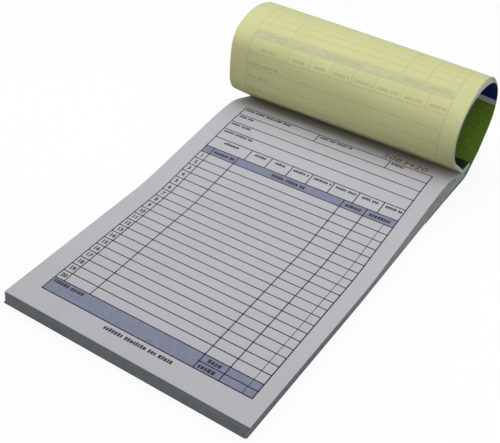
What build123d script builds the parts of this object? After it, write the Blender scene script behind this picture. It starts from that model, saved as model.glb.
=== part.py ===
"""Duplicate receipt book: a top-bound pad of two-part sets, lying open with its used sets rolled back.

Millimetres. X runs across the page, +Y from the page's free edge to the spine, +Z up from the table.
The origin is the middle of the book's footprint, on the table.
"""

import os
from math import asin, atan2, cos, degrees, hypot, radians, sin, sqrt, tan

from build123d import *

# Sheets: a half-letter page, held by a stub behind a row of perforations
sheet_width = 139.7
sheet_length = 215.9
sheet_thickness = 0.08
stub_length = 12.7
perforation_gap = 0.3

# The pad: sets of a white original on a yellow duplicate, on a thin chipboard
remaining_sets = 43
stack_gap = 0.015
board_thickness = 0.7

# How far the pad was pushed askew: shift of the uppermost sheet over the lowest
pad_slant = 2.5

# Shape of the pad along the page, in distances from the spine
rise_place = 121.0
crest_place = 31.0
gutter_place = 8.5
crest_height = 5.8
bowed_sheets = 28
rise_radius = 150.0
crest_radius = 30.0
dip_radius = 8.0

# The roll: turned sets with the cover innermost, its tail tucked under the pad
turned_sets = 6
turned_gap = 0.055
cover_thickness = 0.3
clamp_length = 8.0
gutter_radius = 3.5
gutter_turn = 42.0
lean_length = 15.5
front_radius = 24.4
crown_turn = 45.0
rear_radius = 24.6
foot_radius = 8.0
foot_turn = 49.0

# Binding: cloth tape round the spine, and two flat-wire staples through the stub
tape_thickness = 0.2
tape_top = 6.0
tape_bottom = 10.0
tape_corner = 0.6
spine_gap = 0.35
seat_gap = 0.05
staple_wire = 0.45
staple_width = 0.6
staple_crown = 12.7
staple_clinch = 4.6
staple_corner = 0.9
staple_spacing = 76.0
staple_margin = 4.0
tail_clearance = 0.25
foot_clearance = 1.0

# Heights that follow from the pieces
stack_pitch = sheet_thickness + stack_gap
stack_sheets = 2 * remaining_sets + 2
turned_pitch = sheet_thickness + turned_gap
turned_sheets = 2 * turned_sets
cover_offset = turned_sheets * turned_pitch
tail_thickness = cover_offset + cover_thickness
pad_lift = tail_thickness + tail_clearance + staple_wire + tape_thickness + 2 * seat_gap
roll_base = pad_lift + board_thickness + stack_gap + stack_sheets * stack_pitch
cover_top = roll_base + cover_offset + cover_thickness
tape_under = pad_lift - seat_gap
tape_over = cover_top + seat_gap

# The tape covers what the slanted pad leaves in line from top to bottom
tape_width = sheet_width - pad_slant


def arc_step(radius, start, end):
    """Travel along an arc of the roll, between two headings in degrees (0 is forward, 90 is up)."""
    across = sin(radians(start)) - sin(radians(end))
    upward = cos(radians(start)) - cos(radians(end))
    return Vector(radius * across, radius * upward)


def run_step(length, heading):
    """Travel along a straight run of the roll at a heading in degrees."""
    return Vector(-length * cos(radians(heading)), length * sin(radians(heading)))


# Headings at which the roll's arcs meet
shoulder_heading = 180 - crown_turn / 2
back_heading = 180 + crown_turn / 2
drop_heading = 360 - foot_turn

# The tail lands where the inside of the roll's foot clears the lower corner of the tape
foot_inside = foot_radius - tail_thickness
foot_drop = foot_radius - tape_under + tape_thickness
landing = spine_gap + tape_thickness + foot_clearance - sqrt(foot_inside**2 - foot_drop**2)

# Straight run at the back that brings the tail down to the table
shoulder = Vector(0, roll_base) + run_step(clamp_length, 0)
shoulder += arc_step(gutter_radius, 0, gutter_turn) + run_step(lean_length, gutter_turn)
shoulder += arc_step(front_radius, gutter_turn, shoulder_heading)
rear_step = arc_step(rear_radius, back_heading, drop_heading)
foot_step = arc_step(foot_radius, drop_heading, 360)
drop_length = (shoulder.Y + rear_step.Y + foot_step.Y) / sin(radians(foot_turn))

# The crown spans what is left between its two shoulders, which stand at one height
drop_step = run_step(drop_length, drop_heading)
crown_span = landing - (shoulder + rear_step + drop_step + foot_step).X
crown_radius = crown_span / (2 * sin(radians(crown_turn / 2)))
rear_reach = (shoulder + arc_step(rear_radius, back_heading, 270)).X + crown_span


def step_ramp(run, rise, bends):
    """Slope, in degrees, and straight length of a step between opposite bends whose radii add up to bends."""
    slope = degrees(atan2(rise - bends, run) + asin(bends / hypot(run, rise - bends)))
    return slope, (run - bends * sin(radians(slope))) / cos(radians(slope))


def step_length(run, rise, bends):
    """Length of a sheet along such a step."""
    slope, straight = step_ramp(run, rise, bends)
    return bends * radians(slope) + straight


# The uppermost sheet's free edge, with which all the sheets below it are flush
rise_run = rise_place - crest_place
fall_run = crest_place - gutter_place
climb_length = step_length(rise_run, pad_lift + crest_height, 2 * rise_radius)
fall_length = step_length(fall_run, crest_height, crest_radius + dip_radius)
free_edge = rise_place + sheet_length - climb_length - fall_length - gutter_place

# The spine's place puts the origin in the middle of the footprint
spine_y = (free_edge - rear_reach) / 2


def profile_plane(shift):
    """Upright plane along the page, at the left edge of a sheet that is shifted across."""
    return Plane(origin=(shift - sheet_width / 2, spine_y, 0), x_dir=(0, 1, 0), z_dir=(1, 0, 0))


def perforation_plane(distance):
    """Plane square to the page, at a distance in front of the spine, facing the spine."""
    return Plane(origin=(0, spine_y - distance, 0), x_dir=(1, 0, 0), z_dir=(0, 1, 0))


def level_shift(level):
    """Shift across of a sheet of the pad, by its level above the board."""
    return pad_slant * (level / (stack_sheets - 1) - 0.5)


def level_height(level):
    """Height of a sheet's underside where the pad lies flat."""
    return board_thickness + stack_gap + level * stack_pitch


def level_bow(level):
    """How far a sheet bows up in front of the gutter: only the upper sheets do."""
    first = stack_sheets - bowed_sheets
    return crest_height * max(0, level + 1 - first) / bowed_sheets


def step_edge(start, run, rise, first_radius, second_radius):
    """A smooth step in a sheet: an arc, a straight slope and an opposite arc; returns its end."""
    slope, straight = step_ramp(run, abs(rise), first_radius + second_radius)
    turn = slope if rise > 0 else -slope
    first = JernArc(start, (1, 0), first_radius, turn)
    ramp = Line(first @ 1, first @ 1 + straight * (first % 1))
    second = JernArc(ramp @ 1, ramp % 1, second_radius, -turn)
    return second @ 1


# Sheets that only follow the board turn by so little that a crease stands for each bend
board_slope = step_ramp(rise_run, pad_lift, 2 * rise_radius)[0]
crease_inset = rise_radius * tan(radians(board_slope / 2))


def pad_edge(height, bow):
    """One face of a sheet of the pad, drawn from its free edge to the spine; returns its two ends."""
    lifted = height + pad_lift
    if bow:
        foot = Vector(-rise_place, height)
        crest = step_edge(foot, rise_run, pad_lift + bow, rise_radius, rise_radius)
        top = step_edge(crest, fall_run, -bow, crest_radius, dip_radius)
    else:
        ramp = Line((crease_inset - rise_place, height), (-crease_inset - crest_place, lifted))
        foot = ramp @ 0
        top = ramp @ 1
    flat = Line((-free_edge, height), foot)
    bound = Line(top, (0, lifted))
    return flat @ 0, bound @ 1


def pad_face(height, bow, thickness):
    """Section of a sheet or board of the pad."""
    with BuildLine() as outline:
        under = pad_edge(height, bow)
        over = pad_edge(height + thickness, bow)
        for low, high in zip(under, over):
            Line(low, high)
    make_face(outline.edges())


def roll_edge(offset, tail):
    """One face of a turned sheet, from the spine round the roll to its tail; returns its two ends."""
    bound = Line((0, roll_base + offset), (-clamp_length, roll_base + offset))
    bend = JernArc(bound @ 1, bound % 1, gutter_radius - offset, -gutter_turn)
    lean = Line(bend @ 1, bend @ 1 + lean_length * (bend % 1))
    front = JernArc(lean @ 1, lean % 1, front_radius - offset, gutter_turn - shoulder_heading)
    crown = JernArc(front @ 1, front % 1, crown_radius - offset, -crown_turn)
    rear = JernArc(crown @ 1, crown % 1, rear_radius - offset, back_heading - drop_heading)
    drop = Line(rear @ 1, rear @ 1 + drop_length * (rear % 1))
    foot = JernArc(drop @ 1, drop % 1, foot_radius - offset, -foot_turn)
    flat = Line(foot @ 1, foot @ 1 + tail * (foot % 1))
    return bound @ 0, flat @ 1


def tail_length(offset):
    """What is left of a turned sheet, past the roll, when its middle lies at an offset from the outside."""
    turns = (
        (gutter_radius, gutter_turn),
        (front_radius, shoulder_heading - gutter_turn),
        (crown_radius, crown_turn),
        (rear_radius, drop_heading - back_heading),
        (foot_radius, foot_turn),
    )
    curved = sum((radius - offset) * radians(turn) for radius, turn in turns)
    return sheet_length - clamp_length - lean_length - drop_length - curved


def roll_face(offset, thickness):
    """Section of a turned sheet or of the cover."""
    tail = tail_length(offset + thickness / 2)
    with BuildLine() as outline:
        outside = roll_edge(offset, tail)
        inside = roll_edge(offset + thickness, tail)
        for near, far in zip(outside, inside):
            Line(near, far)
    make_face(outline.edges())


def save(piece, name):
    """Label a finished piece and write it to its own file."""
    piece.part.label = name
    export_step(piece.part, f"parts/{name}.step")


os.makedirs("parts", exist_ok=True)

# Back board, flat on the table at the front and lifted by the tail at the spine
with BuildPart() as back_board:
    with BuildSketch(profile_plane(level_shift(0))):
        pad_face(0, 0, board_thickness)
    extrude(amount=sheet_width)
save(back_board, "back_board")

# Sheets still to be used, lying in pairs with the original above its duplicate
remaining_levels = {
    "remaining_duplicates": range(0, 2 * remaining_sets, 2),
    "remaining_originals": range(1, 2 * remaining_sets, 2),
}
for name, levels in remaining_levels.items():
    with BuildPart() as remaining:
        for level in levels:
            with BuildSketch(profile_plane(level_shift(level))):
                pad_face(level_height(level), level_bow(level), sheet_thickness)
        extrude(amount=sheet_width)
    save(remaining, name)

# The current set: each sheet is a leaf and a stub, parted at the perforations
current_levels = {"current_duplicate": stack_sheets - 2, "current_original": stack_sheets - 1}
for name, level in current_levels.items():
    page = profile_plane(level_shift(level))
    with BuildPart() as leaf:
        with BuildSketch(page):
            pad_face(level_height(level), level_bow(level), sheet_thickness)
        extrude(amount=sheet_width)
        split(bisect_by=perforation_plane(stub_length + perforation_gap), keep=Keep.BOTTOM)
    save(leaf, name)
    with BuildPart() as stub:
        with BuildSketch(page):
            pad_face(level_height(level), level_bow(level), sheet_thickness)
        extrude(amount=sheet_width)
        split(bisect_by=perforation_plane(stub_length), keep=Keep.TOP)
    save(stub, f"{name}_stub")

# Turned sheets, the last one turned outermost; they and the cover are in line with the uppermost sheet
roll_plane = profile_plane(level_shift(stack_sheets - 1))
for number in range(turned_sets, 0, -1):
    outermost = 2 * (turned_sets - number)
    for name, layer in (("turned_duplicate", outermost), ("turned_original", outermost + 1)):
        with BuildPart() as turned:
            with BuildSketch(roll_plane):
                roll_face(layer * turned_pitch, sheet_thickness)
            extrude(amount=sheet_width)
        save(turned, f"{name}_{number}")

# Front cover, innermost in the roll
with BuildPart() as front_cover:
    with BuildSketch(roll_plane):
        roll_face(cover_offset, cover_thickness)
    extrude(amount=sheet_width)
save(front_cover, "front_cover")

# Binding tape, from the cover round the spine to the underside of the board
with BuildPart() as binding_tape:
    with BuildSketch(profile_plane(pad_slant / 2)):
        with BuildLine():
            Polyline(
                (-tape_top, tape_over),
                (spine_gap, tape_over),
                (spine_gap, tape_under),
                (-tape_bottom, tape_under),
                (-tape_bottom, tape_under - tape_thickness),
                (spine_gap + tape_thickness, tape_under - tape_thickness),
                (spine_gap + tape_thickness, tape_over + tape_thickness),
                (-tape_top, tape_over + tape_thickness),
                close=True,
            )
        face = make_face()
        outer_corners = face.vertices().group_by(Axis.X)[-1]
        inner_corners = face.vertices().group_by(Axis.X)[-2]
        fillet(outer_corners, tape_corner)
        fillet(inner_corners, tape_corner - tape_thickness)
    extrude(amount=tape_width)
save(binding_tape, "binding_tape")

# Staples, driven from the cover side and clinched under the board
staple_top = tape_over + tape_thickness + seat_gap + staple_wire
staple_under = tape_under - tape_thickness - seat_gap - staple_wire
staple_height = staple_top - staple_under
clinch_gap = staple_crown - 2 * staple_clinch
with BuildPart() as staples:
    with BuildSketch(Plane.XZ.offset(staple_margin - spine_y)):
        with GridLocations(staple_spacing, 1, 2, 1):
            with Locations((0, staple_under + staple_height / 2)):
                RectangleRounded(staple_crown, staple_height, staple_corner)
                inner_width = staple_crown - 2 * staple_wire
                inner_height = staple_height - 2 * staple_wire
                inner_corner = staple_corner - staple_wire
                RectangleRounded(inner_width, inner_height, inner_corner, mode=Mode.SUBTRACT)
            with Locations((0, staple_under + staple_wire / 2)):
                Rectangle(clinch_gap, 2 * staple_wire, mode=Mode.SUBTRACT)
    extrude(amount=staple_width / 2, both=True)
save(staples, "staples")

print(f"pad {board_thickness + stack_sheets * stack_pitch:.2f} thick, lifted {pad_lift:.2f} at the spine")
print(f"free edges {free_edge:.2f} in front of the spine")
print(f"roll reaches {rear_reach:.2f} behind the spine, which is at y {spine_y:.2f}")
print(f"crown radius {crown_radius:.2f}, tail lands {landing:.2f} from the spine")
print(f"the outer tail runs on for {tail_length(sheet_thickness / 2):.2f}")
print(f"the cover's tail runs on for {tail_length(cover_offset + cover_thickness / 2):.2f}")
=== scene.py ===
import random
from cmath import rect
from functools import lru_cache
from math import asin, atan2, ceil, cos, hypot, pi, radians, sin, sqrt

import bmesh
import bpy
from mathutils import Matrix, Vector


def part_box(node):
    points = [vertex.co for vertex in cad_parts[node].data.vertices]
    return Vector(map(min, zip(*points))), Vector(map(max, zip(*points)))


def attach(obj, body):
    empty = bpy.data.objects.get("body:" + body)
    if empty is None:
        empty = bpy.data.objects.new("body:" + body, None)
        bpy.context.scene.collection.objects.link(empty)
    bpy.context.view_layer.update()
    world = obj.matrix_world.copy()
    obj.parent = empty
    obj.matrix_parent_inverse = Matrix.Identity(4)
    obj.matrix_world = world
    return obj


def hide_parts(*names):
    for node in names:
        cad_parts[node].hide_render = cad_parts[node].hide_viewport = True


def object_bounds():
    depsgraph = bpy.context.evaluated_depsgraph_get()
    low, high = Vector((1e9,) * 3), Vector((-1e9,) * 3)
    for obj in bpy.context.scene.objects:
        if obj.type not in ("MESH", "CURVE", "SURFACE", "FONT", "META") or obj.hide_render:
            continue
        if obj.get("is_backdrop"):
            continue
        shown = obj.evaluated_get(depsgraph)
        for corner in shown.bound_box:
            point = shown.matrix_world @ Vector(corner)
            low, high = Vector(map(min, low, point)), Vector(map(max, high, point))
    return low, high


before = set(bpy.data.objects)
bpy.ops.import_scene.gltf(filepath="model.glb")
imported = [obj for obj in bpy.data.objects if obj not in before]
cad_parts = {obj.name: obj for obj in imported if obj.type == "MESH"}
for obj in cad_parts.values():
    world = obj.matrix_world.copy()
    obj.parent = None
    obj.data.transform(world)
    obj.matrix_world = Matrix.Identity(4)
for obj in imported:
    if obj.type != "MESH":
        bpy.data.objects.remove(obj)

cad_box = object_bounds()

# Seeds of what differs from sheet to sheet, and of the labels
sheet_seed = 11
letter_seed = 4
dice = random.Random(sheet_seed)

# Millimetres here, as in the solids; the scene is in metres
mm = 0.001

# Sheets
sheet_width = 139.7
sheet_length = 215.9
sheet_thickness = 0.08
stub_length = 12.7
perforation_gap = 0.3
remaining_sets = 43
stack_gap = 0.015
stack_pitch = sheet_thickness + stack_gap
stack_sheets = 2 * remaining_sets + 2
board_thickness = 0.7

# How far the pad was pushed askew: shift of the uppermost sheet over the board, and over the lowest sheet
pad_slant = 2.5
sheet_slant = 1.5

# How far each sheet of the pad may lie out of line, across and along the page
stack_jitter = (0.02, 0.006)

# The upper face of a current leaf keeps its height, and its underside leaves room for the ink below it
leaf_relief = 0.02

# Ties between a current leaf and its stub, left between the cuts of the perforation
tie_pitch = 1.25
tie_width = 0.45
tie_reach = 0.25
tie_hold = 0.2

# Shape of the pad along the page, in distances from the spine
rise_place = 121.0
crest_place = 31.0
gutter_place = 8.5
crest_height = 5.8
bowed_sheets = 28
rise_radius = 150.0
crest_radius = 30.0
dip_radius = 8.0
pad_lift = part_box("back_board")[1].z / mm - board_thickness

# The roll: turned sets with the cover innermost; pairs of values are for its left and its right end
turned_sets = 6
turned_pitch = 0.135
cover_offset = 2 * turned_sets * turned_pitch
cover_thickness = 0.3
clamp_length = 8.0
gutter_radius = 3.5
gutter_turns = (radians(39.0), radians(42.0))
lean_lengths = (20.0, 16.0)
belly_radii = (14.0, 22.0)
wall_radii = (80.0, 22.0)
wall_turn = radians(14.0)
shoulder_radii = (13.0, 22.0)
crown_turn = radians(45.0)
rear_radii = (25.9, 22.9)
foot_radius = 8.0
foot_turn = radians(49.0)
landing = -1.38
roll_base = pad_lift + board_thickness + stack_gap + stack_sheets * stack_pitch

# How far each turned sheet may lie out of line at the spine, and how much further by its tail
turned_jitter = 0.12
turned_skew = 0.2

# How the bundle loosens on its way round, and how its tail drifts to the left
bundle_spread = 0.7
spread_rise = (20.0, 60.0)
spread_fall = (130.0, 178.0)
tail_drift = -1.8
drift_range = (145.0, 178.0)

# From the crown on, the turned sheets lie to the left of the cover, the outermost one by this much
sheet_inset = -1.8
inset_range = (62.0, 100.0)

# The tape's outside stands this far behind the spine
tape_reach = 0.55
spine_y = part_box("binding_tape")[1].y / mm - tape_reach

# Fineness of curved sheets: how far a facet may leave its arc, and its greatest length
facet_error = 0.004
longest_facet = 20.0

# Strips across the page
leaf_columns = 4
roll_columns = 12

# Edges sharper than this stay sharp in smooth shading
sharp_angle = radians(30)

# The form's print: it sits a little turned on the sheet, about its lower left corner
print_left = 12.5
print_foot = 11.89
print_right = 131.97
print_turn = radians(0.5)
band_top = 21.06
row_pitch = 5.934
row_count = 20
rows_top = band_top + row_count * row_pitch
title_top = 145.3
cell_top = 154.1
header_lines = (162.6, 170.3, 178.2)
print_top = 185.5
number_column = 18.16
quantity_column = 34.33
price_column = 101.07
amount_column = 114.6
cents_column = 126.8
cell_lines = (37.7, 51.0, 64.4, 77.0, 90.3, 105.6, 120.0)
header_splits = (62.5, 107.0)
frame_rule = 0.6
plain_rule = 0.56
fine_rule = 0.3

# Labels: heights of their capitals, and places beside the rules
label_height = 1.8
title_height = 2.2
sum_height = 2.5
label_inset = 1.4
label_drop = 2.7
cell_drop = 0.6
band_drop = 0.4
sum_indent = 2.0
sum_rise = 1.0
caption_left = 53.7
caption_drop = 4.2

# Lengths of the labels
top_labels = (30.0, 20.0, 8.0)
line_labels = (19.0, 12.0, 9.5)
cell_labels = (9.5, 7.0, 7.0, 9.5, 10.0, 11.5, 9.5, 8.5)
title_labels = (13.0, 20.0, 9.0, 12.5)
band_label = 18.0
sum_labels = (5.5, 9.0)
caption_length = 38.0

# Greeked capitals: widths, heights and gaps as shares of the label's height, and capitals in a row
capital_widths = (0.4, 0.7)
capital_heights = (0.8, 1.0)
capital_gap = 0.16
word_gap = 0.5
first_row = (4, 8)
later_rows = (3, 8)

# Figures of the row numbers and of the set's running number, and the middle of the latter
row_figures = {"height": 3.5, "spacing": 1.0, "boldness": 0.045}
serial_figures = {"height": 7.4, "spacing": 1.04, "boldness": 0.012}
serial_across = 113.9
serial_along = 189.4
current_number = 5083420
figure_steps = 3
weld_fineness = 2000

# Faces of the ink: under and over the paper's surface, and the largest patches across and along the page
ink_sink = -0.004
band_height = 0.008
line_height = 0.014
ink_across = 10.0
ink_along = 1.0

# Painted shade on the pad's long sides, darker towards the free edge: full up to the first place along the
# book, none past the second, in metres
side_shade_range = (-0.06, 0.065)

# What full painted shade leaves of the tone
side_painted_shade = 0.5


def mix(pair, share):
    """Value between the two of a pair."""
    return pair[0] + (pair[1] - pair[0]) * share


def smooth(span, value):
    """0 before a span, 1 past it, with a smooth change along it."""
    share = min(1.0, max(0.0, (value - span[0]) / (span[1] - span[0])))
    return share * share * (3 - 2 * share)


# Lines of sheets: runs of (length, turn), with places as complex numbers, along the page and up


def run_step(heading, length, turn):
    """Travel of a run that starts at a heading and turns evenly along its length."""
    if not turn:
        return rect(length, heading)
    return -1j * length / turn * (rect(1, heading + turn) - rect(1, heading))


def walk(runs, start, heading, distance):
    """Place and heading at a distance along a line of runs, which goes on straight past its end."""
    place = start
    for length, turn in runs:
        part = min(distance, length)
        part_turn = turn * part / length
        place += run_step(heading, part, part_turn)
        heading += part_turn
        distance -= part
        if distance <= 0:
            break
    return place + rect(max(0.0, distance), heading), heading


def stations(runs, pattern=None):
    """Distances along a line of runs at which a sheet has facets, divided like those of a pattern."""
    marks = [0.0]
    reached = 0.0
    for (length, _), (span, turn) in zip(runs, pattern or runs):
        pitch = longest_facet
        if turn:
            pitch = min(pitch, sqrt(8 * facet_error * abs(span / turn)))
        count = ceil(span / pitch)
        marks += [reached + length * (step + 1) / count for step in range(count)]
        reached += length
    return marks


def step_slope(run, rise, bends):
    """Slope of a step between two opposite bends whose radii add up to bends."""
    return atan2(rise - bends, run) + asin(bends / hypot(run, rise - bends))


def columns(count):
    """Distances across a sheet at the edges of a number of equal strips."""
    return [sheet_width * step / count for step in range(count + 1)]


# Sheets of the pad


def level_shift(level):
    """Shift of a sheet of the pad across the page, by its level above the board."""
    return pad_slant / 2 - sheet_slant * (1 - level / (stack_sheets - 1))


def level_height(level):
    """Height of a sheet's underside where the pad lies flat."""
    return board_thickness + stack_gap + level * stack_pitch


def level_bow(level):
    """How far a sheet bows up in front of the gutter."""
    return crest_height * max(0, level + 1 - stack_sheets + bowed_sheets) / bowed_sheets


def pad_rise(bow):
    """Runs of a sheet of the pad from where it leaves the table to the spine."""
    rise_run = rise_place - crest_place
    fall_run = crest_place - gutter_place
    fall_bends = crest_radius + dip_radius
    climb = step_slope(rise_run, pad_lift + bow, 2 * rise_radius)
    fall = step_slope(fall_run, bow, fall_bends) if bow else 0.0
    runs = [
        (rise_radius * climb, climb),
        ((rise_run - 2 * rise_radius * sin(climb)) / cos(climb), 0.0),
        (rise_radius * climb, -climb),
    ]
    if bow:
        runs += [
            (crest_radius * fall, -fall),
            ((fall_run - fall_bends * sin(fall)) / cos(fall), 0.0),
            (dip_radius * fall, fall),
            (gutter_place, 0.0),
        ]
    else:
        runs.append((crest_place, 0.0))
    return runs


# The free edges lie flush with that of the uppermost sheet, whose line is the longest
free_edge = rise_place + sheet_length - sum(length for length, turn in pad_rise(crest_height))


def pad_line(bow):
    """Runs of a sheet of the pad from its free edge to the spine."""
    return [(free_edge - rise_place, 0.0), *pad_rise(bow)]


def pad_point(across, along, height):
    """Point of the pad in the row frame, from its distances across and along the page."""
    return Vector((across, spine_y + along, height)) * mm


def pad_sheet(level, shift=0j):
    """Shape of a sheet of the pad: a function of u, v and the height over its underside."""
    runs = pad_line(level_bow(level))
    left = level_shift(level) - sheet_width / 2 + shift.real
    base = level_height(level)

    def place(u, v, lift):
        spot = walk(runs, complex(shift.imag - free_edge, base), 0.0, v)[0]
        return pad_point(left + u, spot.real, spot.imag + lift)

    return place


def leaf_length(level):
    """Length of a current leaf along its line, from its free edge to the perforations, found by halving."""
    runs = pad_line(level_bow(level))
    low, high = 0.0, sheet_length
    halvings = 40
    for _ in range(halvings):
        middle = (low + high) / 2
        if walk(runs, -free_edge, 0.0, middle)[0].real < -stub_length - perforation_gap:
            low = middle
        else:
            high = middle
    return low


# Sheets of the roll


def bend(radius, turn):
    """Run of a bend towards the inside of the roll."""
    return radius * turn, -turn


@lru_cache(maxsize=None)
def roll_runs(share, offset):
    """Runs of a turned sheet from the spine to its tail, at a share of the width and an offset inwards."""
    gutter_turn = mix(gutter_turns, share)
    lead = [
        (clamp_length, 0.0),
        bend(gutter_radius, gutter_turn),
        (mix(lean_lengths, share), 0.0),
        bend(mix(belly_radii, share), pi / 2 - gutter_turn),
        bend(mix(wall_radii, share), wall_turn),
        bend(mix(shoulder_radii, share), pi / 2 - wall_turn - crown_turn / 2),
    ]
    rear = bend(mix(rear_radii, share), pi - crown_turn / 2 - foot_turn)
    foot = bend(foot_radius, foot_turn)

    # The drop brings the tail down to the table, and the crown spans what is left
    travel = walk(lead, 1j * roll_base, pi, sum(length for length, turn in lead))[0]
    travel += run_step(-crown_turn / 2, *rear) + run_step(foot_turn - pi, *foot)
    drop = travel.imag / sin(foot_turn)
    crown = (landing - travel.real + drop * cos(foot_turn)) / (2 * sin(crown_turn / 2))

    outer = [*lead, bend(crown, crown_turn), rear, (drop, 0.0), foot]
    runs = [(length + offset * turn, turn) for length, turn in outer]
    tail = sheet_length - sum(length for length, turn in runs)
    return (*runs, (tail, 0.0))


def roll_sheet(offset, thickness, shift, skew):
    """Shape of a turned sheet: a function of u, the distance from the spine and the height outwards."""
    middle = offset + thickness / 2
    left = level_shift(stack_sheets - 1) - sheet_width / 2 + shift
    inset = sheet_inset * (1 - offset / cover_offset)

    def place(u, s, lift):
        runs = roll_runs(u / sheet_width, middle)
        spot, heading = walk(runs, complex(0, roll_base + middle), pi, s)
        loose = bundle_spread * smooth(spread_rise, s) * (1 - smooth(spread_fall, s))
        inward = loose * offset / cover_offset - thickness / 2 - lift
        spot += rect(inward, heading - pi / 2)
        drift = skew * s / sheet_length
        drift += tail_drift * smooth(drift_range, s)
        drift += inset * smooth(inset_range, s)
        return pad_point(left + u + drift, spot.real, spot.imag)

    return place


# Meshes


class Parts:
    """Corners and faces of a piece that is being built."""

    def __init__(self):
        self.corners = []
        self.places = []
        self.faces = []
        self.kinds = []

    def add_face(self, corners, kind):
        """Add one face with the number of its material."""
        self.faces.append(corners)
        self.kinds.append(kind)

    def add_slab(self, place, us, rows, low, high, kinds=(0, 0, 0, 0)):
        """Add a closed slab over a patch of a sheet. rows give each column's distances along the sheet.

        kinds are the numbers of the materials on its upper side, underside, ends and long sides.
        """
        first = len(self.corners)
        depth = len(rows[0])
        for lift in (low, high):
            for u, marks in zip(us, rows):
                for mark in marks:
                    self.corners.append(place(u, mark, lift))
                    self.places.append((u / sheet_width, mark / sheet_length))
        upper = len(us) * depth

        for column in range(len(us) - 1):
            for row in range(depth - 1):
                near = first + column * depth + row
                quad = (near, near + depth, near + depth + 1, near + 1)
                self.add_face([corner + upper for corner in quad], kinds[0])
                self.add_face(quad[::-1], kinds[1])
        for column in range(len(us) - 1):
            for row in (0, depth - 1):
                near = first + column * depth + row
                self.add_face((near, near + depth, near + depth + upper, near + upper), kinds[2])
        for row in range(depth - 1):
            for column in (0, len(us) - 1):
                near = first + column * depth + row
                self.add_face((near, near + 1, near + 1 + upper, near + upper), kinds[3])

    def add_mesh(self, mesh, place):
        """Add a flat mesh, with each corner mapped onto a sheet."""
        first = len(self.corners)
        for corner in mesh.vertices:
            self.corners.append(place(*corner.co))
            self.places.append((0.0, 0.0))
        for face in mesh.polygons:
            self.add_face([first + corner for corner in face.vertices], 0)


def finish_piece(parts, name, materials, body, nodes=()):
    """Make an object of the parts, riding on a body and standing for CAD nodes."""
    mesh = bpy.data.meshes.new(name)
    mesh.from_pydata(parts.corners, [], parts.faces)
    mesh.polygons.foreach_set("material_index", parts.kinds)
    mesh.polygons.foreach_set("use_smooth", [True] * len(parts.faces))
    flat = mesh.uv_layers.new(name="sheet")
    for loop in mesh.loops:
        flat.data[loop.index].uv = parts.places[loop.vertex_index]
    for made in materials:
        mesh.materials.append(made)
    shell = bmesh.new()
    shell.from_mesh(mesh)
    bmesh.ops.recalc_face_normals(shell, faces=shell.faces)
    shell.to_mesh(mesh)
    shell.free()
    mesh.set_sharp_from_angle(angle=sharp_angle)
    piece = bpy.data.objects.new(name, mesh)
    bpy.context.scene.collection.objects.link(piece)
    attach(piece, body)
    if nodes:
        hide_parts(*nodes)


# Materials


def colour(red, green, blue):
    """Linear colour from sRGB values out of 255."""
    shares = [value / 255 for value in (red, green, blue)]
    return (*[s / 12.92 if s <= 0.04045 else ((s + 0.055) / 1.055) ** 2.4 for s in shares], 1.0)


def add_node(tree, kind, inputs, **settings):
    """Add a node, with its inputs set or linked, and return its first output."""
    made = tree.nodes.new(kind)
    for name, value in settings.items():
        setattr(made, name, value)
    for name, value in inputs.items():
        if isinstance(value, bpy.types.NodeSocket):
            tree.links.new(value, made.inputs[name])
        else:
            made.inputs[name].default_value = value
    return made.outputs[0]


def add_noise(tree, spot, scale, detail):
    """Noise over the surface, with a scale in patches per metre."""
    return add_node(tree, "ShaderNodeTexNoise", {"Vector": spot, "Scale": scale, "Detail": detail})


def add_streaks(tree, spot, scales, detail):
    """Noise with a scale of its own along X, Y and Z, in patches per metre."""
    stretched = add_node(tree, "ShaderNodeMapping", {"Vector": spot, "Scale": scales})
    return add_noise(tree, stretched, 1.0, detail)


def add_ramp(tree, value, stops, interpolation="LINEAR"):
    """Colour that depends on a value, from stops of (value, colour)."""
    made = tree.nodes.new("ShaderNodeValToRGB")
    tree.links.new(value, made.inputs["Fac"])
    band = made.color_ramp
    band.interpolation = interpolation
    while len(band.elements) < len(stops):
        band.elements.new(1.0)
    for element, (place, tone) in zip(band.elements, stops):
        element.position = place
        element.color = tone
    return made.outputs["Color"]


def add_math(tree, operation, first, second=0.0):
    """Arithmetic on one or two values."""
    return add_node(tree, "ShaderNodeMath", {0: first, 1: second}, operation=operation)


def add_blend(tree, first, second, share):
    """A share of one value and the rest of another."""
    part = add_math(tree, "MULTIPLY", first, share)
    rest = add_math(tree, "MULTIPLY", second, 1 - share)
    return add_math(tree, "ADD", part, rest)


def add_range(tree, value, low, high):
    """A value from 0 to 1, spread between two limits."""
    return add_node(tree, "ShaderNodeMapRange", {"Value": value, "To Min": low, "To Max": high})


def add_split(tree, vector):
    """The X, Y and Z of a vector."""
    made = tree.nodes.new("ShaderNodeSeparateXYZ")
    tree.links.new(vector, made.inputs["Vector"])
    return made.outputs


def add_product(tree, first, second):
    """One colour times another."""
    made = tree.nodes.new("ShaderNodeMix")
    made.data_type = "RGBA"
    made.blend_type = "MULTIPLY"
    made.inputs["Factor"].default_value = 1.0
    tree.links.new(first, made.inputs[6])
    tree.links.new(second, made.inputs[7])
    return made.outputs[2]


def add_bump(tree, height, depth, strength):
    """Bump with a depth in millimetres."""
    inputs = {"Height": height, "Distance": depth * mm, "Strength": strength}
    return add_node(tree, "ShaderNodeBump", inputs)


def start_material(name):
    """A new material with its node tree, its shader and the place on the surface, in metres."""
    made = bpy.data.materials.new(name)
    made.use_nodes = True
    tree = made.node_tree
    spot = tree.nodes.new("ShaderNodeTexCoord").outputs["Object"]
    return made, tree, tree.nodes["Principled BSDF"], spot


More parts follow.
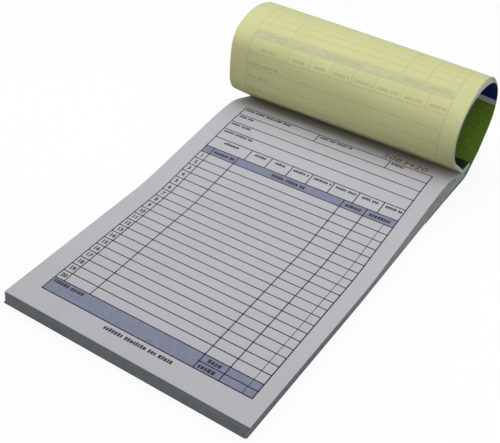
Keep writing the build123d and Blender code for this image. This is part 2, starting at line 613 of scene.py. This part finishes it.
def paint(tree, shader, tone, roughness, bump, specular=0.5):
    """Link a shader's colour, roughness and bump, and set how strongly it reflects."""
    tree.links.new(tone, shader.inputs["Base Color"])
    tree.links.new(roughness, shader.inputs["Roughness"])
    tree.links.new(bump, shader.inputs["Normal"])
    shader.inputs["Specular IOR Level"].default_value = specular


def paper(name, light, dark):
    """Paper: clouds of pulp and fine fibres over a matt face."""
    made, tree, shader, spot = start_material(name)
    clouds = add_noise(tree, spot, scale=45.0, detail=6.0)
    fibres = add_noise(tree, spot, scale=2400.0, detail=3.0)
    tone = add_ramp(tree, add_blend(tree, clouds, fibres, share=0.65), [(0.3, dark), (0.7, light)])
    roughness = add_range(tree, fibres, low=0.78, high=0.94)
    bump = add_bump(tree, fibres, depth=0.012, strength=0.5)
    paint(tree, shader, tone, roughness, bump, specular=0.25)
    return made


def cut_edge(name, light, dark, painted_shade=None):
    """Cut edge of paper: streaks along the sheets from the knife, and painted shade that darkens it towards
    the free edge.
    """
    made, tree, shader, spot = start_material(name)
    streaks = add_streaks(tree, spot, scales=(120.0, 120.0, 9000.0), detail=4.0)
    knife = add_noise(tree, spot, scale=220.0, detail=3.0)
    marks = add_math(tree, "MULTIPLY", streaks, add_math(tree, "ADD", knife, 0.5))
    tone = add_ramp(tree, marks, [(0.3, dark), (0.65, light)])
    if painted_shade:
        # Painted shade: the tone darkens towards the pad's free edge and stays full near the spine, where
        # the side is lit
        along = add_split(tree, spot)["Y"]
        limits = {"From Min": side_shade_range[0], "From Max": side_shade_range[1], "To Min": painted_shade}
        tone = add_product(tree, tone, add_node(tree, "ShaderNodeMapRange", {"Value": along, **limits}))
    roughness = add_range(tree, streaks, low=0.8, high=0.95)
    bump = add_bump(tree, streaks, depth=0.03, strength=0.6)
    paint(tree, shader, tone, roughness, bump, specular=0.2)
    return made


def ink(name, solid, thin, grain=900.0):
    """Offset ink: nearly solid, thinner where the paper takes less of it."""
    made, tree, shader, spot = start_material(name)
    cover = add_noise(tree, spot, scale=grain, detail=4.0)
    tone = add_ramp(tree, cover, [(0.35, thin), (0.6, solid)])
    roughness = add_range(tree, cover, low=0.6, high=0.85)
    bump = add_bump(tree, cover, depth=0.006, strength=0.4)
    paint(tree, shader, tone, roughness, bump, specular=0.25)
    return made


def cover_print(name, stops):
    """Printed and varnished card, in bands along its length."""
    made, tree, shader, spot = start_material(name)
    flat = tree.nodes.new("ShaderNodeUVMap")
    flat.uv_map = "sheet"
    bands = add_ramp(tree, add_split(tree, flat.outputs["UV"])["Y"], stops, "CONSTANT")
    grain = add_noise(tree, spot, scale=700.0, detail=4.0)
    wear = add_ramp(tree, grain, [(0.3, colour(205, 205, 205)), (0.7, colour(255, 255, 255))])
    roughness = add_range(tree, grain, low=0.5, high=0.66)
    bump = add_bump(tree, grain, depth=0.01, strength=0.5)
    paint(tree, shader, add_product(tree, bands, wear), roughness, bump, specular=0.25)
    shader.inputs["Coat Weight"].default_value = 0.03
    shader.inputs["Coat Roughness"].default_value = 0.3
    return made


def chipboard(name):
    """Grey board: coarse pulp with dark and pale flecks."""
    made, tree, shader, spot = start_material(name)
    pulp = add_noise(tree, spot, scale=320.0, detail=6.0)
    flecks = add_noise(tree, spot, scale=1500.0, detail=2.0)
    mixed = add_blend(tree, pulp, flecks, share=0.6)
    stops = [(0.36, colour(108, 103, 96)), (0.5, colour(142, 137, 128)), (0.66, colour(166, 161, 150))]
    roughness = add_range(tree, flecks, low=0.82, high=0.96)
    bump = add_bump(tree, mixed, depth=0.05, strength=0.7)
    paint(tree, shader, add_ramp(tree, mixed, stops), roughness, bump)
    return made


def tape_cloth(name):
    """Binding cloth: a plain weave, with painted shade that darkens its hollows."""
    made, tree, shader, spot = start_material(name)
    split = add_split(tree, spot)
    round_spine = add_math(tree, "ADD", split["Y"], split["Z"])
    radians_per_metre = 9000.0
    warp = add_math(tree, "SINE", add_math(tree, "MULTIPLY", split["X"], radians_per_metre))
    weft = add_math(tree, "SINE", add_math(tree, "MULTIPLY", round_spine, radians_per_metre))
    weave = add_range(tree, add_math(tree, "MULTIPLY", warp, weft), low=0.3, high=1.0)
    dye = add_noise(tree, spot, scale=400.0, detail=4.0)
    height = add_math(tree, "MULTIPLY", weave, add_math(tree, "ADD", dye, 0.5))
    # Painted shade: the tone is darker where the weave is low, and varies at random with the dye
    tone = add_ramp(tree, height, [(0.2, colour(10, 20, 8)), (0.8, colour(24, 42, 16))])
    roughness = add_range(tree, dye, low=0.6, high=0.85)
    bump = add_bump(tree, weave, depth=0.05, strength=0.8)
    paint(tree, shader, tone, roughness, bump, specular=0.2)
    return made


def staple_steel(name):
    """Flat steel wire, drawn along its length and a little dulled."""
    made, tree, shader, spot = start_material(name)
    drawn = add_streaks(tree, spot, scales=(300.0, 9000.0, 300.0), detail=3.0)
    tone = add_ramp(tree, drawn, [(0.3, colour(150, 152, 155)), (0.7, colour(205, 207, 210))])
    roughness = add_range(tree, drawn, low=0.25, high=0.45)
    bump = add_bump(tree, drawn, depth=0.01, strength=0.5)
    paint(tree, shader, tone, roughness, bump)
    shader.inputs["Metallic"].default_value = 1.0
    return made


# Papers and cut edges, each between two tones
white_paper = paper("white_paper", colour(192, 191, 197), colour(187, 186, 192))
yellow_paper = paper("yellow_paper", colour(210, 211, 156), colour(203, 204, 148))
white_edge = cut_edge("white_edge", colour(244, 246, 247), colour(222, 225, 227))
yellow_edge = cut_edge("yellow_edge", colour(240, 242, 230), colour(216, 219, 206))
# Painted shade: the pad's cut edges are a darker, cooler grey than the paper's own edge, for the shade
# between its sheets
stack_whites_painted_shade = (colour(180, 191, 203), colour(148, 160, 171))
stack_yellows_painted_shade = (colour(158, 168, 176), colour(130, 140, 148))
white_stack_edge_painted_shade = cut_edge("white_stack_edge_painted_shade", *stack_whites_painted_shade)
yellow_stack_edge_painted_shade = cut_edge("yellow_stack_edge_painted_shade", *stack_yellows_painted_shade)
white_stack_side_painted_shade = cut_edge("white_stack_side_painted_shade", *stack_whites_painted_shade, side_painted_shade)
yellow_stack_side_painted_shade = cut_edge("yellow_stack_side_painted_shade", *stack_yellows_painted_shade, side_painted_shade)
card_back = paper("card_back", colour(226, 226, 224), colour(214, 214, 212))
card_edge = cut_edge("card_edge", colour(200, 201, 200), colour(172, 174, 172))

# Inks, and the tones of print that shows through the paper
rule_ink = ink("rule_ink", colour(8, 9, 20), colour(22, 23, 34))
band_ink = ink("band_ink", colour(127, 131, 155), colour(134, 138, 161), grain=500.0)
word_ink = ink("word_ink", colour(40, 40, 52), colour(66, 66, 77))
serial_ink = ink("serial_ink", colour(120, 80, 70), colour(142, 106, 96))
yellow_rule_ink = ink("yellow_rule_ink", colour(58, 60, 62), colour(92, 94, 84))
yellow_band_ink = ink("yellow_band_ink", colour(150, 156, 138), colour(162, 168, 146), grain=500.0)
ghost_rule = ink("ghost_rule", colour(188, 190, 143), colour(197, 198, 147))
ghost_band = ink("ghost_band", colour(186, 190, 149), colour(195, 198, 152), grain=300.0)
ghost_word = ink("ghost_word", colour(178, 180, 137), colour(192, 193, 144))

# Bands of the cover, each from a share of its length on, counted from the spine; the last, near black, is
# painted shadow on the tail under the pad
navy = colour(22, 26, 104)
stripe_grey = colour(206, 208, 212)
green = colour(112, 147, 44)
spine_green = colour(24, 50, 14)
# Painted shadow: the tail of the cover where it runs under the pad
tail_painted_shadow = colour(14, 22, 12)
cover_bands = [
    (0.0, spine_green),
    (0.12, navy),
    (0.5535, stripe_grey),
    (0.5695, green),
    (0.79, tail_painted_shadow),
]
cover_face = cover_print("cover_face", cover_bands)

# Sheets still to be used


def add_stack(name, node, first, materials):
    """Half the sheets of the pad, each a little out of line with the next."""
    parts = Parts()
    us = (0.0, sheet_width)
    for level in range(first, 2 * remaining_sets, 2):
        shift = complex(*[dice.uniform(-reach, reach) for reach in stack_jitter])
        marks = stations(pad_line(level_bow(level)))
        parts.add_slab(pad_sheet(level, shift), us, (marks, marks), 0.0, sheet_thickness, (0, 0, 1, 2))
    finish_piece(parts, name, materials, "book", (node,))


yellow_stack = (yellow_paper, yellow_stack_edge_painted_shade, yellow_stack_side_painted_shade)
white_stack = (white_paper, white_stack_edge_painted_shade, white_stack_side_painted_shade)
add_stack("stack_duplicates", "remaining_duplicates", 0, yellow_stack)
add_stack("stack_originals", "remaining_originals", 1, white_stack)

# The current set

duplicate_level = stack_sheets - 2
original_level = stack_sheets - 1


def add_leaf(name, node, level, face, edge, body):
    """A current leaf and the ties of its perforated edge, which are half as thick."""
    parts = Parts()
    kinds = (0, 0, 1, 1)
    place = pad_sheet(level)
    end = leaf_length(level)
    marks = [mark for mark in stations(pad_line(level_bow(level))) if mark < end - tie_hold]
    marks.append(end)
    us = columns(leaf_columns)
    parts.add_slab(place, us, [marks] * len(us), leaf_relief, sheet_thickness, kinds)
    inset = (sheet_thickness - leaf_relief) / 4
    low = leaf_relief + inset
    high = sheet_thickness - inset
    ends = (end - tie_hold, end + tie_reach)
    for tie in range(int(sheet_width / tie_pitch)):
        left = (tie + 0.5) * tie_pitch
        parts.add_slab(place, (left, left + tie_width), (ends, ends), low, high, kinds)
    finish_piece(parts, name, (face, edge), body, (node,))


add_leaf(
    "duplicate_page", "current_duplicate", duplicate_level,
    yellow_paper, yellow_edge, "duplicate_leaf",
)
add_leaf(
    "original_page", "current_original", original_level,
    white_paper, white_edge, "original_leaf",
)

# Turned sheets and the cover


def add_turned(name, node, offset, thickness, materials):
    """A sheet of the roll; returns its shape."""
    shift = dice.uniform(-turned_jitter, turned_jitter)
    skew = dice.uniform(-turned_skew, turned_skew)
    place = roll_sheet(offset, thickness, shift, skew)
    us = columns(roll_columns)
    middle = offset + thickness / 2
    rows = [stations(roll_runs(u / sheet_width, middle), roll_runs(0.5, 0.0)) for u in us]
    parts = Parts()
    parts.add_slab(place, us, rows, -thickness, 0.0, (0, 1, 2, 2))
    finish_piece(parts, name, materials, "book", (node,))
    return place


yellows = (yellow_paper, yellow_paper, yellow_edge)
whites = (white_paper, white_paper, white_edge)
rolled_duplicates = []
for number in range(turned_sets, 0, -1):
    outermost = 2 * (turned_sets - number)
    duplicate_offset = outermost * turned_pitch
    original_offset = duplicate_offset + turned_pitch
    rolled_duplicate = add_turned(
        f"rolled_duplicate_{number}", f"turned_duplicate_{number}",
        duplicate_offset, sheet_thickness, yellows,
    )
    rolled_duplicates.append(rolled_duplicate)
    add_turned(
        f"rolled_original_{number}", f"turned_original_{number}",
        original_offset, sheet_thickness, whites,
    )
add_turned(
    "rolled_cover", "front_cover", cover_offset, cover_thickness,
    (card_back, cover_face, card_edge),
)

# The printed form


def cuts(start, end, pitch):
    """Evenly spaced values from start to end, no more than a pitch apart."""
    count = max(1, ceil(abs(end - start) / pitch))
    return [start + (end - start) * step / count for step in range(count + 1)]


class Form:
    """The form's print on one sheet, gathered by ink."""

    def __init__(self, place):
        self.sheet = place
        self.bands = Parts()
        self.rules = Parts()
        self.words = Parts()
        self.numbers = Parts()
        self.serial = Parts()

    def place(self, across, along, lift):
        """Point of the print, which is turned on the sheet, at a height over it."""
        right = across - print_left
        up = along - print_foot
        u = print_left + right * cos(print_turn) - up * sin(print_turn)
        v = print_foot + right * sin(print_turn) + up * cos(print_turn)
        return self.sheet(u, v, lift)

    def add_block(self, parts, left, right, foot, top, height):
        """A solid patch of ink."""
        us = cuts(left, right, ink_across)
        marks = cuts(foot, top, ink_along)
        parts.add_slab(self.place, us, [marks] * len(us), ink_sink, height)

    def add_line_across(self, left, right, along, width=plain_rule):
        """A rule across the page."""
        half = width / 2
        self.add_block(self.rules, left - half, right + half, along - half, along + half, line_height)

    def add_line_up(self, across, foot, top, width=plain_rule):
        """A rule along the page."""
        half = width / 2
        self.add_block(self.rules, across - half, across + half, foot, top, line_height)

    def add_words(self, left, foot, length, height, letters):
        """A line of greeked capitals: plain blocks in short rows."""
        reach = left
        left_in_row = letters.randint(*first_row)
        while reach < left + length:
            width = height * letters.uniform(*capital_widths)
            top = foot + height * letters.uniform(*capital_heights)
            self.add_block(self.words, reach, reach + width, foot, top, line_height)
            reach += width + capital_gap * height
            left_in_row -= 1
            if left_in_row == 0:
                reach += word_gap * height
                left_in_row = letters.randint(*later_rows)

    def add_number(self, parts, text, across, along, height, spacing, boldness):
        """A number in plain figures, centred on a point."""
        curve = bpy.data.curves.new("figures", "FONT")
        curve.body = text
        curve.align_x = "CENTER"
        curve.align_y = "CENTER"
        curve.size = height
        curve.space_character = spacing
        curve.offset = height * boldness
        curve.resolution_u = figure_steps
        curve.extrude = 1.0
        holder = bpy.data.objects.new("figures", curve)
        figures = bpy.data.meshes.new_from_object(holder)
        shell = bmesh.new()
        shell.from_mesh(figures)
        bmesh.ops.remove_doubles(shell, verts=shell.verts, dist=height / weld_fineness)
        shell.to_mesh(figures)
        shell.free()

        def figure_place(x, y, z):
            return self.place(across + x, along + y, line_height if z > 0 else ink_sink)

        parts.add_mesh(figures, figure_place)
        bpy.data.objects.remove(holder)
        bpy.data.curves.remove(curve)
        bpy.data.meshes.remove(figures)

    def draw_bands(self):
        """The two tinted bands."""
        self.add_block(self.bands, print_left, print_right, print_foot, band_top, band_height)
        self.add_block(self.bands, print_left, print_right, rows_top, title_top, band_height)

    def draw_rules(self):
        """Frame, rows, columns and header cells."""
        self.add_line_across(print_left, print_right, print_foot, frame_rule)
        self.add_line_across(print_left, print_right, print_top, frame_rule)
        self.add_line_up(print_left, print_foot, print_top, frame_rule)
        self.add_line_up(print_right, print_foot, print_top, frame_rule)
        for row in range(row_count + 1):
            self.add_line_across(print_left, print_right, band_top + row * row_pitch)
        for along in (title_top, cell_top, *header_lines):
            self.add_line_across(print_left, print_right, along)
        for across in (number_column, quantity_column):
            self.add_line_up(across, band_top, title_top)
        for across in (price_column, amount_column):
            self.add_line_up(across, print_foot, title_top)
        self.add_line_up(cents_column, print_foot, rows_top, fine_rule)
        self.add_line_across(price_column, print_right, (print_foot + band_top) / 2)
        for across in cell_lines:
            self.add_line_up(across, title_top, cell_top)
        for across in header_splits:
            self.add_line_up(across, header_lines[-1], print_top)

    def draw_words(self):
        """Greeked labels of the header, the columns and the bottom band."""
        letters = random.Random(letter_seed)
        for left, length in zip((print_left, *header_splits), top_labels):
            self.add_words(left + label_inset, print_top - label_drop, length, label_height, letters)
        for along, length in zip(header_lines, line_labels):
            self.add_words(print_left + label_inset, along - label_drop, length, label_height, letters)

        # Labels in the middle of their cells, and of the column heads
        cells = (print_left, *cell_lines, print_right)
        cell_foot = cell_top - label_drop - cell_drop
        for left, right, length in zip(cells, cells[1:], cell_labels):
            self.add_words((left + right - length) / 2, cell_foot, length, label_height, letters)
        heads = (number_column, quantity_column, price_column, amount_column, print_right)
        head_foot = (rows_top + title_top - title_height) / 2
        for left, right, length in zip(heads, heads[1:], title_labels):
            self.add_words((left + right - length) / 2, head_foot, length, title_height, letters)

        # In the bottom band, and under it
        band_foot = band_top - label_drop - band_drop
        self.add_words(print_left + label_inset, band_foot, band_label, title_height, letters)
        sum_left = price_column + label_inset
        upper_foot = band_top - (band_top - print_foot) / 2 + sum_rise
        self.add_words(sum_left + sum_indent, upper_foot, sum_labels[0], sum_height, letters)
        self.add_words(sum_left, print_foot + sum_rise, sum_labels[1], sum_height, letters)
        self.add_words(caption_left, print_foot - caption_drop, caption_length, title_height, letters)

    def draw_numbers(self):
        """Line numbers down the first column."""
        middle = (print_left + number_column) / 2
        for row in range(row_count):
            along = rows_top - (row + 0.5) * row_pitch
            self.add_number(self.numbers, str(row + 1), middle, along, **row_figures)

    def draw_serial(self, number):
        """The set's running number."""
        self.add_number(self.serial, str(number), serial_across, serial_along, **serial_figures)


def lifted(place, height):
    """The same sheet, measured from a face at a height over its zero."""
    return lambda u, v, lift: place(u, v, height + lift)


def print_leaf(name, level, body, number, inks):
    """The form on a sheet of the pad."""
    form = Form(lifted(pad_sheet(level), sheet_thickness))
    form.draw_bands()
    form.draw_rules()
    form.draw_words()
    form.draw_numbers()
    form.draw_serial(number)
    groups = {
        "bands": form.bands,
        "rules": form.rules,
        "labels": form.words,
        "line_numbers": form.numbers,
        "serial_number": form.serial,
    }
    for (kind, parts), made in zip(groups.items(), inks):
        finish_piece(parts, f"{name}_{kind}", (made,), body)


white_inks = (band_ink, rule_ink, word_ink, word_ink, serial_ink)
yellow_inks = (yellow_band_ink, yellow_rule_ink, yellow_rule_ink, yellow_rule_ink, serial_ink)
print_leaf("original", original_level, "original_leaf", current_number, white_inks)
print_leaf("duplicate", duplicate_level, "duplicate_leaf", current_number, yellow_inks)
print_leaf("next_original", duplicate_level - 1, "book", current_number + 1, white_inks)

# The last turned duplicate, outermost in the roll, lets its print show through to its back, mirrored

outer_sheet = rolled_duplicates[0]
ghost = Form(lambda u, v, lift: outer_sheet(u, sheet_length - v, lift))
ghost.draw_bands()
ghost.draw_rules()
ghost.draw_words()
for parts, kind, made in (
    (ghost.bands, "bands", ghost_band),
    (ghost.rules, "rules", ghost_rule),
    (ghost.words, "labels", ghost_word),
):
    finish_piece(parts, f"showing_through_{kind}", (made,), "book")

# CAD pieces that keep their own shape

kept_nodes = {
    "back_board": chipboard("grey_chipboard"),
    "binding_tape": tape_cloth("binding_cloth"),
    "staples": staple_steel("staple_steel"),
    "current_original_stub": white_paper,
    "current_duplicate_stub": yellow_paper,
}
for name, made in kept_nodes.items():
    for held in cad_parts[name].material_slots:
        held.material = made

# Studio: a pale floor that is white to the camera, a soft light overhead, and weaker ones at both sides

plain_white = (1, 1, 1, 1)
floor_grey = (0.2, 0.2, 0.21, 1)


def seen_directly(tree):
    """1 for what the camera, a gloss or a glass sees, 0 for light that falls on the object."""
    path = tree.nodes.new("ShaderNodeLightPath")
    seen = add_math(tree, "MAXIMUM", path.outputs["Is Camera Ray"], path.outputs["Is Glossy Ray"])
    return add_math(tree, "MAXIMUM", seen, path.outputs["Is Transmission Ray"])


def add_floor():
    """A wide floor just under the book: white, with a trace of the book's shadow."""
    half = 3.0
    under = -0.05 * mm
    shadow_share = 0.08
    mesh = bpy.data.meshes.new("floor")
    corners = [(-half, -half, under), (half, -half, under), (half, half, under), (-half, half, under)]
    mesh.from_pydata(corners, [], [(0, 1, 2, 3)])
    floor = bpy.data.objects.new("floor", mesh)
    bpy.context.scene.collection.objects.link(floor)
    floor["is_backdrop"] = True
    made = bpy.data.materials.new("floor")
    made.use_nodes = True
    tree = made.node_tree
    tree.nodes.clear()
    seen = seen_directly(tree)
    white = add_node(tree, "ShaderNodeEmission", {"Color": plain_white, "Strength": 1.0})
    lit = add_node(tree, "ShaderNodeBsdfDiffuse", {"Color": plain_white})
    bounce = add_node(tree, "ShaderNodeBsdfDiffuse", {"Color": floor_grey})
    shown = add_node(tree, "ShaderNodeMixShader", {0: 1 - shadow_share, 1: lit, 2: white})
    both = add_node(tree, "ShaderNodeMixShader", {0: seen, 1: bounce, 2: shown})
    tree.links.new(both, tree.nodes.new("ShaderNodeOutputMaterial").inputs["Surface"])
    mesh.materials.append(made)


def add_world(fill):
    """White to the camera, and a weak even light for everything else."""
    world = bpy.data.worlds.new("studio")
    world.use_nodes = True
    tree = world.node_tree
    tree.nodes.clear()
    seen = seen_directly(tree)
    white = add_node(tree, "ShaderNodeBackground", {"Color": plain_white, "Strength": 1.0})
    weak = add_node(tree, "ShaderNodeBackground", {"Color": plain_white, "Strength": fill})
    both = add_node(tree, "ShaderNodeMixShader", {0: seen, 1: weak, 2: white})
    tree.links.new(both, tree.nodes.new("ShaderNodeOutputWorld").inputs["Surface"])
    bpy.context.scene.world = world


def add_lamp(name, place, aim, size, power):
    """A square soft light, in metres and watts."""
    light = bpy.data.lights.new(name, "AREA")
    light.size = size
    light.energy = power
    lamp = bpy.data.objects.new(name, light)
    lamp.location = place
    lamp.rotation_mode = "QUATERNION"
    lamp.rotation_quaternion = (Vector(aim) - Vector(place)).to_track_quat("-Z", "Y")
    bpy.context.scene.collection.objects.link(lamp)


def add_camera():
    """The camera of the photograph."""
    place = Vector((200.99, -316.82, 311.46)) * mm
    azimuth = radians(33.94)
    elevation = radians(39.64)
    roll = radians(0.556)
    focal_length = 66.29
    forward = Vector((-sin(azimuth) * cos(elevation), cos(azimuth) * cos(elevation), -sin(elevation)))
    level = forward.cross(Vector((0, 0, 1))).normalized()
    right = cos(roll) * level + sin(roll) * level.cross(forward)
    up = right.cross(forward)
    lens = bpy.data.cameras.new("camera")
    lens.lens = focal_length
    lens.sensor_fit = "HORIZONTAL"
    lens.sensor_width = 36.0
    lens.clip_start = 0.01
    camera = bpy.data.objects.new("camera", lens)
    turn = Matrix((right, up, -forward)).transposed()
    camera.matrix_world = Matrix.Translation(place) @ turn.to_4x4()
    bpy.context.scene.collection.objects.link(camera)
    bpy.context.scene.camera = camera


add_floor()
add_world(fill=0.35)
add_lamp("key", place=(-0.03, 0.06, 0.42), aim=(0.0, 0.03, 0.0), size=0.4, power=1.0)
add_lamp("left", place=(-0.3, -0.02, 0.22), aim=(-0.06, 0.09, 0.05), size=0.2, power=0.16)
add_lamp("side", place=(0.5, -0.08, 0.22), aim=(0.06, 0.09, 0.035), size=0.3, power=0.8)
add_camera()
bpy.context.scene.view_settings.view_transform = "Standard"

boxes = {"cad": cad_box, "visual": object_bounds()}
{name: [list(corner) for corner in box] for name, box in boxes.items()}
